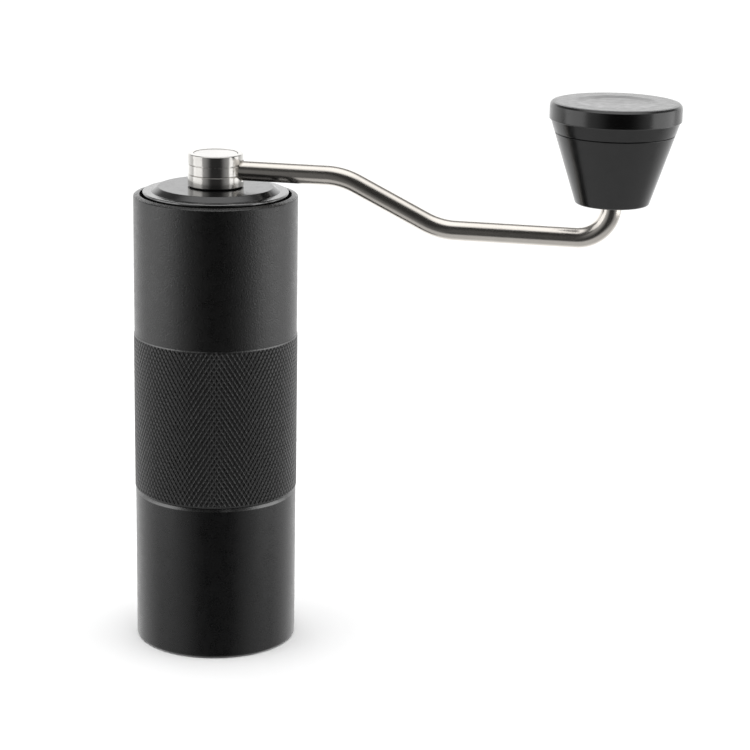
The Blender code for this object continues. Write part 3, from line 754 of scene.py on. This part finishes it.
def spiral(mesh, rows, fine):
    """Rings through rows of (radius, tooth depth, height, turn in degrees), with fine rings between."""
    made = []
    angles = even(BURR_TEETH * TOOTH_STEPS)
    for low, high in zip(rows, rows[1:]):
        for i in range(fine):
            t = i / fine
            radius, depth, z, turn = (a + (b - a) * t for a, b in zip(low, high))
            made.append(ring_of(mesh, toothed(radius, depth), z, angles, math.radians(turn)))
    radius, depth, z, turn = rows[-1]
    made.append(ring_of(mesh, toothed(radius, depth), z, angles, math.radians(turn)))
    return made


def toothed(radius, depth):
    """The radius of a ring of cutting teeth: a ramp, then a short steep face."""
    def at(angle):
        t = (angle * BURR_TEETH / (2 * math.pi) + 1e-6) % 1.0
        return radius - depth * (t / 0.85 if t < 0.85 else (1 - t) / 0.15)

    return at


def make_burrs(material):
    low, high = box_mm("inner_burr")
    bore, turn = hexagon(SOCKET_HALF), 60
    mesh = bmesh.new()
    cone = (
        (17.1, 0.0, low.z, 0),
        (17.4, 0.25, low.z + 0.5, 2),
        (15.3, 0.3, 67.2, 12),
        (12.8, 1.0, 71.0, 27),
        (9.6, 0.9, high.z - 1.0, 56),
        (8.8, 0.0, high.z, turn),
    )
    made = spiral(mesh, cone, 5)
    angles = even(BURR_TEETH * TOOTH_STEPS)
    well, seat = 7.4, 71.9
    for radius, z in ((well, high.z), (well, seat), (bore, seat), (bore, low.z)):
        made.append(ring_of(mesh, radius, z, angles, math.radians(turn)))
    shift = turn * len(angles) // 360
    made.append(made[0][shift:] + made[0][:shift])
    join_all(mesh, made)
    piece("inner_burr_cut", mesh, material, "inner_burr")

    low, high = box_mm("outer_burr")
    reach, turn = HOPPER_R - 0.2, -48
    mesh = bmesh.new()
    crown = (
        (18.35, 0.0, low.z, 0),
        (18.2, 0.25, low.z + 0.4, -2),
        (16.25, 0.3, 67.2, -10),
        (17.4, 1.2, 70.6, -20),
        (19.0, 1.0, high.z - 1.0, turn + 2),
        (19.3, 0.0, high.z, turn),
    )
    made = [ring_of(mesh, reach, low.z, angles)] + spiral(mesh, crown, 5)
    made.append(ring_of(mesh, reach, high.z, angles, math.radians(turn)))
    shift = turn * len(angles) // 360
    made.append(made[0][shift:] + made[0][:shift])
    join_all(mesh, made)
    piece("outer_burr_cut", mesh, material, "outer_burr")


def make_springs(material):
    low, high = box_mm("burr_spring")
    wire = 0.5
    piece("burr_spring_wound", coil(6.4, wire, low.z + wire, high.z - wire, 4.5), material, "burr_spring")
    for k, x in enumerate((8.0, -8.0), 1):
        low, high = box_mm(f"click_spring_{k}")
        wire = 0.15
        mesh = moved(coil(0.75, wire, low.z + wire, high.z - wire, 2.5, 32, 8), x)
        piece(f"click_spring_{k}_wound", mesh, material, f"click_spring_{k}")
        low, high = box_mm(f"click_ball_{k}")
        ball = bmesh.new()
        bmesh.ops.create_icosphere(ball, subdivisions=4, radius=(high.z - low.z) / 2)
        bmesh.ops.translate(ball, vec=(x, 0, (low.z + high.z) / 2), verts=ball.verts)
        piece(f"click_ball_{k}_round", ball, material, f"click_ball_{k}")


def make_dial(alloy, steel):
    """The grind dial with its flutes and ball pockets, and the notched click plate."""
    low, high = box_mm("adjust_dial")

    def fluted(angle):
        return 12.0 - 0.5 * (1 - abs(math.sin(angle * 10)))

    outline = [
        (3.7, low.z),
        (6.0, low.z, 0.3),
        (7.0, low.z + 1.2, 0.5),
        (11.0, low.z + 1.2, 0.3),
        (fluted, low.z + 2.0),
        (fluted, high.z - 0.6),
        (11.0, high.z),
        (4.4, high.z, 0.2),
        (4.4, 57.0),
        (3.7, 57.0),
    ]
    mesh = bmesh.new()
    made = [ring_of(mesh, r, z, even(240)) for r, z, *_ in outline]
    join_all(mesh, made + [made[0]])
    pockets = bmesh.new()
    pocket_r, pocket_low = 1.25, 57.2
    for x in (8.0, -8.0):
        sections = [
            [Vector((x + pocket_r * math.cos(t), pocket_r * math.sin(t), z)) for t in even(48)]
            for z in (pocket_low, high.z + 1)
        ]
        swept(sections, mesh=pockets)
    piece("dial_fluted", mesh, alloy, "adjust_dial", pockets)

    low, high = box_mm("click_plate")
    clicks = 12

    def notched(angle):
        place = abs(angle * clicks / (2 * math.pi) % 1.0 - 0.5)
        return low.z + 0.2 * max(0.0, 1 - place / 0.12)

    mesh = bmesh.new()
    angles = even(clicks * 24)
    made = []
    for radius, height in (
        (hexagon(SOCKET_HALF), low.z),
        (6.0, low.z),
        (7.0, notched),
        (9.0, notched),
        (10.4, low.z),
        (10.5, low.z + 0.1),
        (10.5, high.z - 0.1),
        (10.4, high.z),
        (hexagon(SOCKET_HALF), high.z),
    ):
        ring = ring_of(mesh, radius, 0.0, angles)
        for vert, angle in zip(ring, angles):
            vert.co.z = height(angle) if callable(height) else height
        made.append(ring)
    join_all(mesh, made + [made[0]])
    piece("click_plate_stamped", mesh, steel, "click_plate")


def make_knob_screw(material):
    low, high = box_mm("knob_screw")
    head = high.z - 2.4
    key = hexagon(1.0)
    outline = [
        (key, head + 1.0),
        (key, high.z),
        (3.2, high.z),
        (3.8, high.z - 0.8),
        (3.8, head),
        (1.5, head),
        (1.5, low.z + 0.4),
        (1.1, low.z),
    ]
    mesh = bmesh.new()
    made = [ring_of(mesh, radius, z, even(72)) for radius, z in outline]
    join_all(mesh, made)
    fan(mesh, made[0])
    fan(mesh, made[-1])
    piece("knob_screw_turned", moved(mesh, CRANK_R), material, "knob_screw")


# ---------------------------------------------------------------- materials

# The roughness of an anodised face that was turned, not blasted
TURNED_ROUGHNESS = 0.26


class Nodes:
    """A node tree, with short ways to add to it."""

    def __init__(self, tree):
        self.tree = tree

    def add(self, kind, **inputs):
        node = self.tree.nodes.new(kind)
        for name, value in inputs.items():
            self.set(node.inputs[name.replace("_", " ")], value)
        return node

    def set(self, socket, value):
        if isinstance(value, bpy.types.NodeSocket):
            self.tree.links.new(value, socket)
        else:
            socket.default_value = value

    def ramp(self, value, from_low, from_high, to_low, to_high, smooth=False):
        node = self.add("ShaderNodeMapRange", Value=value)
        if smooth:
            node.interpolation_type = "SMOOTHSTEP"
        for name, number in (
            ("From Min", from_low),
            ("From Max", from_high),
            ("To Min", to_low),
            ("To Max", to_high),
        ):
            self.set(node.inputs[name], number)
        return node.outputs["Result"]

    def maths(self, operation, first, second=0.0):
        node = self.add("ShaderNodeMath")
        node.operation = operation
        self.set(node.inputs[0], first)
        self.set(node.inputs[1], second)
        return node.outputs[0]

    def within(self, value, middle, half):
        """1 where a value lies within half of a middle value, else 0."""
        node = self.add("ShaderNodeMath")
        node.operation = "COMPARE"
        for socket, number in zip(node.inputs, (value, middle, half)):
            self.set(socket, number)
        return node.outputs[0]

    def blend(self, factor, first, second):
        node = self.add("ShaderNodeMix")
        node.data_type = "RGBA"
        self.set(node.inputs[0], factor)
        for index, value in ((6, first), (7, second)):
            self.set(node.inputs[index], value if isinstance(value, bpy.types.NodeSocket) else (*value, 1.0))
        return node.outputs[2]


class Finish(Nodes):
    """A Principled material with procedural detail in object space."""

    def __init__(self, name, metallic, roughness, ior=1.5):
        self.material = bpy.data.materials.new(name)
        self.material.use_nodes = True
        super().__init__(self.material.node_tree)
        self.shader = self.tree.nodes["Principled BSDF"]
        self.shader.inputs["Metallic"].default_value = metallic
        self.shader.inputs["Roughness"].default_value = roughness
        self.shader.inputs["IOR"].default_value = ior
        self.place = self.add("ShaderNodeTexCoord").outputs["Object"]

    def stretched(self, x, y, z, vector=None):
        mapping = self.add("ShaderNodeMapping", Vector=vector or self.place)
        mapping.inputs["Scale"].default_value = (x, y, z)
        return mapping.outputs["Vector"]

    def noise(self, scale, detail=3.0, vector=None):
        node = self.add("ShaderNodeTexNoise", Scale=scale, Detail=detail, Vector=vector or self.place)
        return node.outputs["Fac"]

    def link(self, output, name):
        self.tree.links.new(output, self.shader.inputs[name])

    def bump(self, height, distance, strength=1.0):
        node = self.add("ShaderNodeBump", Height=height, Strength=strength, Distance=distance)
        self.link(node.outputs["Normal"], "Normal")


def anodised(name, dark, light, roughness, grain, depth, edge=None, worn=0.0, bright_above=None):
    """Blasted and anodised aluminium: a grain, a slight mottle, a changing gloss, optionally an edge
    worn thin between two heights and a glossier turned face above a height."""
    m = Finish(name, 0.0, roughness, 1.7)
    height = m.add("ShaderNodeSeparateXYZ", Vector=m.place).outputs["Z"]
    mottle = m.ramp(m.noise(90.0, 4.0), 0.3, 0.7, 0.0, 1.0)
    fine = m.noise(grain, 2.0)
    colour = m.blend(mottle, dark, light)
    if edge:
        low, high = edge
        rubbed = m.ramp(m.noise(250.0, 3.0), 0.2, 0.5, 0.6, 1.0)
        rubbed = m.maths("MULTIPLY", rubbed, m.within(height, (low + high) / 2 * MM, (high - low) / 2 * MM))
        colour = m.blend(rubbed, colour, (worn, worn, worn))
        m.link(rubbed, "Metallic")
    m.link(colour, "Base Color")
    gloss = m.maths("ADD", m.ramp(fine, 0.3, 0.7, -0.06, 0.06), m.ramp(m.noise(300.0), 0.3, 0.7, -0.03, 0.03))
    gloss = m.maths("ADD", gloss, roughness)
    if bright_above:
        face = m.ramp(height, (bright_above - 0.1) * MM, (bright_above + 0.1) * MM, 0.0, 1.0)
        gloss = m.maths("SUBTRACT", gloss, m.maths("MULTIPLY", face, roughness - TURNED_ROUGHNESS))
    m.link(gloss, "Roughness")
    m.bump(fine, depth, 0.6)
    return m.material


def steel(name, colour, roughness, rings_scale, distance):
    """Turned steel: fine rings across the axis, and a slight change of gloss."""
    m = Finish(name, 1.0, roughness)
    lines = m.noise(1.0, 2.0, m.stretched(60.0, 60.0, rings_scale))
    stain = m.ramp(m.noise(200.0), 0.3, 0.7, 0.0, 1.0)
    m.link(m.blend(stain, colour, [c * 0.93 for c in colour]), "Base Color")
    m.link(m.ramp(lines, 0.3, 0.7, roughness - 0.03, roughness + 0.04), "Roughness")
    m.bump(lines, distance, 0.4)
    return m.material


def rod_steel(name, colour, roughness):
    """Drawn and brushed stainless rod: long hairlines along it."""
    m = Finish(name, 1.0, roughness)
    uv = m.add("ShaderNodeUVMap")
    uv.uv_map = "bar"
    lines = m.noise(1.0, 4.0, m.stretched(90.0, 25.0, 1.0, uv.outputs["UV"]))
    stain = m.ramp(m.noise(150.0), 0.3, 0.7, 0.0, 1.0)
    m.link(m.blend(stain, colour, [c * 0.93 for c in colour]), "Base Color")
    m.link(m.ramp(lines, 0.3, 0.7, roughness - 0.03, roughness + 0.05), "Roughness")
    m.bump(lines, 0.00001, 0.4)
    return m.material


def moulded(name, colour, roughness, ior):
    """Moulded black plastic with a faint orange peel and light rubbing."""
    m = Finish(name, 0.0, roughness, ior)
    rubbed = m.ramp(m.noise(70.0, 4.0), 0.3, 0.7, 0.0, 1.0)
    m.link(m.blend(rubbed, colour, [c * 1.5 for c in colour]), "Base Color")
    m.link(m.ramp(m.noise(400.0, 4.0), 0.3, 0.7, roughness - 0.03, roughness + 0.04), "Roughness")
    m.bump(m.noise(1800.0, 2.0), 0.00003, 0.2)
    return m.material


def cast_alloy(name, colour):
    """Cast and tumbled alloy: a pebbly skin, small pores and worn high spots."""
    m = Finish(name, 1.0, 0.42)
    skin = m.noise(900.0, 5.0)
    pores = m.add("ShaderNodeTexVoronoi", Scale=1500.0, Vector=m.place).outputs["Distance"]
    pits = m.ramp(pores, 0.0, 0.25, 1.0, 0.0)
    dull = m.ramp(m.noise(120.0, 4.0), 0.35, 0.65, 0.0, 1.0)
    m.link(m.blend(dull, colour, [c * 0.75 for c in colour]), "Base Color")
    m.link(m.maths("ADD", m.ramp(skin, 0.3, 0.7, 0.34, 0.5), m.maths("MULTIPLY", pits, 0.15)), "Roughness")
    m.bump(m.maths("SUBTRACT", skin, m.maths("MULTIPLY", pits, 0.4)), 0.00006, 0.5)
    return m.material


def burr_steel(name, colour):
    """Hardened cutting steel: grinding lines round the axis and a straw-grey heat tint."""
    m = Finish(name, 1.0, 0.3)
    lines = m.noise(1.0, 3.0, m.stretched(80.0, 80.0, 6000.0))
    heat = m.ramp(m.noise(110.0, 3.0), 0.35, 0.65, 0.0, 1.0)
    m.link(m.blend(heat, colour, (colour[0] * 0.86, colour[1] * 0.8, colour[2] * 0.72)), "Base Color")
    m.link(m.ramp(lines, 0.3, 0.7, 0.24, 0.38), "Roughness")
    m.bump(lines, 0.00001, 0.5)
    return m.material


def sintered_bronze(name, colour):
    """Sintered bronze: dark pores full of oil in a warm turned surface."""
    m = Finish(name, 1.0, 0.38)
    pores = m.add("ShaderNodeTexVoronoi", Scale=2600.0, Vector=m.place).outputs["Distance"]
    pits = m.ramp(pores, 0.1, 0.3, 1.0, 0.0)
    m.link(m.blend(pits, colour, [c * 0.3 for c in colour]), "Base Color")
    m.link(m.ramp(m.noise(700.0, 4.0), 0.3, 0.7, 0.3, 0.46), "Roughness")
    m.bump(m.maths("SUBTRACT", 1.0, pits), 0.00002, 0.5)
    return m.material


def rubber(name, colour):
    """Black seal rubber with a dusty bloom and a fine skin."""
    m = Finish(name, 0.0, 0.7)
    bloom = m.ramp(m.noise(160.0, 5.0), 0.4, 0.7, 0.0, 1.0)
    m.link(m.blend(bloom, colour, [c * 2.2 for c in colour]), "Base Color")
    m.link(m.ramp(m.noise(500.0, 4.0), 0.3, 0.7, 0.6, 0.8), "Roughness")
    m.bump(m.noise(2500.0, 3.0), 0.00003, 0.4)
    return m.material


# ---------------------------------------------------------------- stage

def soft_box(name, azimuth, distance, height, size, power):
    """A rectangular light at an azimuth from the camera's side of the object, aimed level at its axis.
    Lengths are in metres, and the power is in watts."""
    data = bpy.data.lights.new(name, "AREA")
    data.shape = "RECTANGLE"
    data.size, data.size_y = size
    data.energy = power
    obj = bpy.data.objects.new(name, data)
    angle = math.radians(FRONT + azimuth)
    obj.location = (distance * math.cos(angle), distance * math.sin(angle), height)
    obj.rotation_euler = (Vector((0, 0, height)) - obj.location).to_track_quat("-Z", "Y").to_euler()
    obj.visible_camera = False
    bpy.context.scene.collection.objects.link(obj)
    return obj


def make_stage():
    reach, sides = 0.55, 96
    mesh = bpy.data.meshes.new("floor")
    corners = [(reach * math.cos(a), reach * math.sin(a), 0) for a in even(sides)]
    mesh.from_pydata(corners, [], [tuple(range(sides))])
    floor = bpy.data.objects.new("floor", mesh)
    floor.location.z = -0.0002
    floor.visible_glossy = False
    bpy.context.scene.collection.objects.link(floor)
    m = Finish("floor_paper", 0.0, 0.8)
    m.link(m.blend(m.noise(3.0), (0.93, 0.93, 0.93), (0.95, 0.95, 0.95)), "Base Color")
    m.bump(m.noise(900.0), 0.0001, 0.1)
    mesh.materials.append(m.material)


def make_world():
    """A white room: a bright wall low behind the object and a light overhead, dark in between and on
    the camera's side."""
    world = bpy.data.worlds.new("studio")
    bpy.context.scene.world = world
    world.use_nodes = True
    world.node_tree.nodes.clear()
    w = Nodes(world.node_tree)
    place = w.add("ShaderNodeTexCoord").outputs["Generated"]
    up = w.add("ShaderNodeSeparateXYZ", Vector=place).outputs["Z"]

    def along(azimuth):
        node = w.add("ShaderNodeVectorMath")
        node.operation = "DOT_PRODUCT"
        angle = math.radians(FRONT + azimuth)
        w.set(node.inputs[0], place)
        w.set(node.inputs[1], (math.cos(angle), math.sin(angle), 0.0))
        return node.outputs["Value"]

    front, side = along(0), w.maths("ABSOLUTE", along(90))
    behind, above = w.ramp(front, -0.55, -0.85, 0, 1, True), w.ramp(up, -0.06, 0.04, 0, 1, True)
    backdrop = w.maths("MULTIPLY", behind, above)
    belt = w.ramp(up, 0.3, 0.48, 1.0, 0.2, True)
    overhead = w.ramp(up, 0.76, 0.95, 0, 1.35, True)
    dark = w.maths("MULTIPLY", w.ramp(side, 0.3, 0.8, 1, 0, True), w.ramp(front, 0.0, 0.25, 0, 1, True))
    dark = w.maths("MULTIPLY", dark, w.ramp(up, -0.7, -0.5, 0, 1, True))
    room = w.maths("MULTIPLY", w.maths("SUBTRACT", 1, dark), belt)
    walls = w.ramp(front, 0.0, -0.9, 0.35, 1.25)
    strength = w.maths("MULTIPLY", room, w.maths("ADD", walls, w.maths("MULTIPLY", backdrop, 0.1)))
    table = w.ramp(up, -0.45, -0.7, 0, 0.2, True)
    strength = w.maths("ADD", w.maths("ADD", strength, 0.03), w.maths("ADD", overhead, table))
    lit = w.add("ShaderNodeBackground", Strength=strength, Color=(1, 1, 1, 1))
    plain = w.add("ShaderNodeBackground", Strength=1.1, Color=(1, 1, 1, 1))
    mix = w.add("ShaderNodeMixShader")
    w.set(mix.inputs[0], w.add("ShaderNodeLightPath").outputs["Is Camera Ray"])
    w.set(mix.inputs[1], lit.outputs[0])
    w.set(mix.inputs[2], plain.outputs[0])
    w.add("ShaderNodeOutputWorld", Surface=mix.outputs[0])


def make_lights():
    side_box = {"distance": 1.0, "height": 0.42, "size": (0.89, 1.28)}
    soft_box("left_box", azimuth=-82, power=3.6, **side_box)
    soft_box("right_box", azimuth=82, power=4.3, **side_box)
    overhead = soft_box("table_light", azimuth=0, distance=0.0, height=1.0, size=(1.2, 1.2), power=10.0)
    # Straight above the object, so it has no direction to aim in: it points down
    overhead.rotation_euler = (0, 0, 0)
    overhead.visible_glossy = False


def make_camera():
    data = bpy.data.cameras.new("camera")
    data.lens = LENS
    data.sensor_width = 36.0
    data.clip_start = 0.01
    camera = bpy.data.objects.new("camera", data)
    turns = [Matrix.Rotation(math.radians(a), 4, axis) for a, axis in zip(CAMERA_TURNS, "ZXZ")]
    camera.matrix_world = Matrix.Translation(CAMERA_PLACE) @ (turns[0] @ turns[1] @ turns[2])
    bpy.context.scene.collection.objects.link(camera)
    bpy.context.scene.camera = camera


def main():
    bpy.context.scene.view_settings.view_transform = "Standard"
    make_camera()
    make_world()
    make_lights()
    make_stage()
    band_edge = (BAND_TOP - EDGE + 0.02, BAND_TOP - 0.05)
    cup_edge = (CUP_TOP - 1.0, CUP_TOP - 0.02)
    flange_edge = (FLANGE_TOP - 0.5, FLANGE_TOP + 0.01)
    blasted = anodised(
        "blasted_black",
        dark=(0.0008, 0.0008, 0.0008),
        light=(0.0012, 0.0012, 0.0011),
        roughness=0.32,
        grain=2300.0,
        depth=0.00018,
        edge=band_edge,
        worn=0.16,
        bright_above=RIM_TOP - 0.9,
    )
    satin_black = anodised(
        "satin_black",
        dark=(0.001, 0.0011, 0.0013),
        light=(0.0015, 0.0017, 0.002),
        roughness=0.3,
        grain=3600.0,
        depth=0.00004,
        edge=cup_edge,
        worn=0.18,
    )
    lid_black = anodised(
        "lid_black",
        dark=(0.003, 0.003, 0.003),
        light=(0.005, 0.005, 0.005),
        roughness=0.18,
        grain=3600.0,
        depth=0.00001,
        edge=flange_edge,
        worn=0.2,
    )
    polished = steel("hub_steel", (0.62, 0.605, 0.58), roughness=0.17, rings_scale=9000.0, distance=0.000004)
    satin = rod_steel("rod_steel", (0.76, 0.72, 0.67), roughness=0.2)
    plastic = moulded("knob_plastic", (0.001, 0.001, 0.001), roughness=0.22, ior=1.7)
    ground = steel("ground_steel", (0.6, 0.58, 0.55), roughness=0.22, rings_scale=7000.0, distance=0.000006)
    alloy = cast_alloy("bracket_alloy", (0.5, 0.5, 0.51))
    cutting = burr_steel("cutting_steel", (0.42, 0.42, 0.43))
    bronze = sintered_bronze("bush_bronze", (0.55, 0.35, 0.16))
    seal = rubber("seal_rubber", (0.012, 0.012, 0.012))
    make_tube(blasted)
    make_cup(satin_black)
    make_lid(lid_black)
    make_hub(polished)
    make_rod(satin)
    make_knob(plastic)
    make_rings({"rubber": seal, "bronze": bronze, "steel": ground})
    make_seal(seal)
    make_clips(ground)
    make_cages(ground)
    make_brackets(alloy)
    make_shaft(ground)
    make_burrs(cutting)
    make_springs(ground)
    make_dial(alloy, ground)
    make_knob_screw(ground)


main()
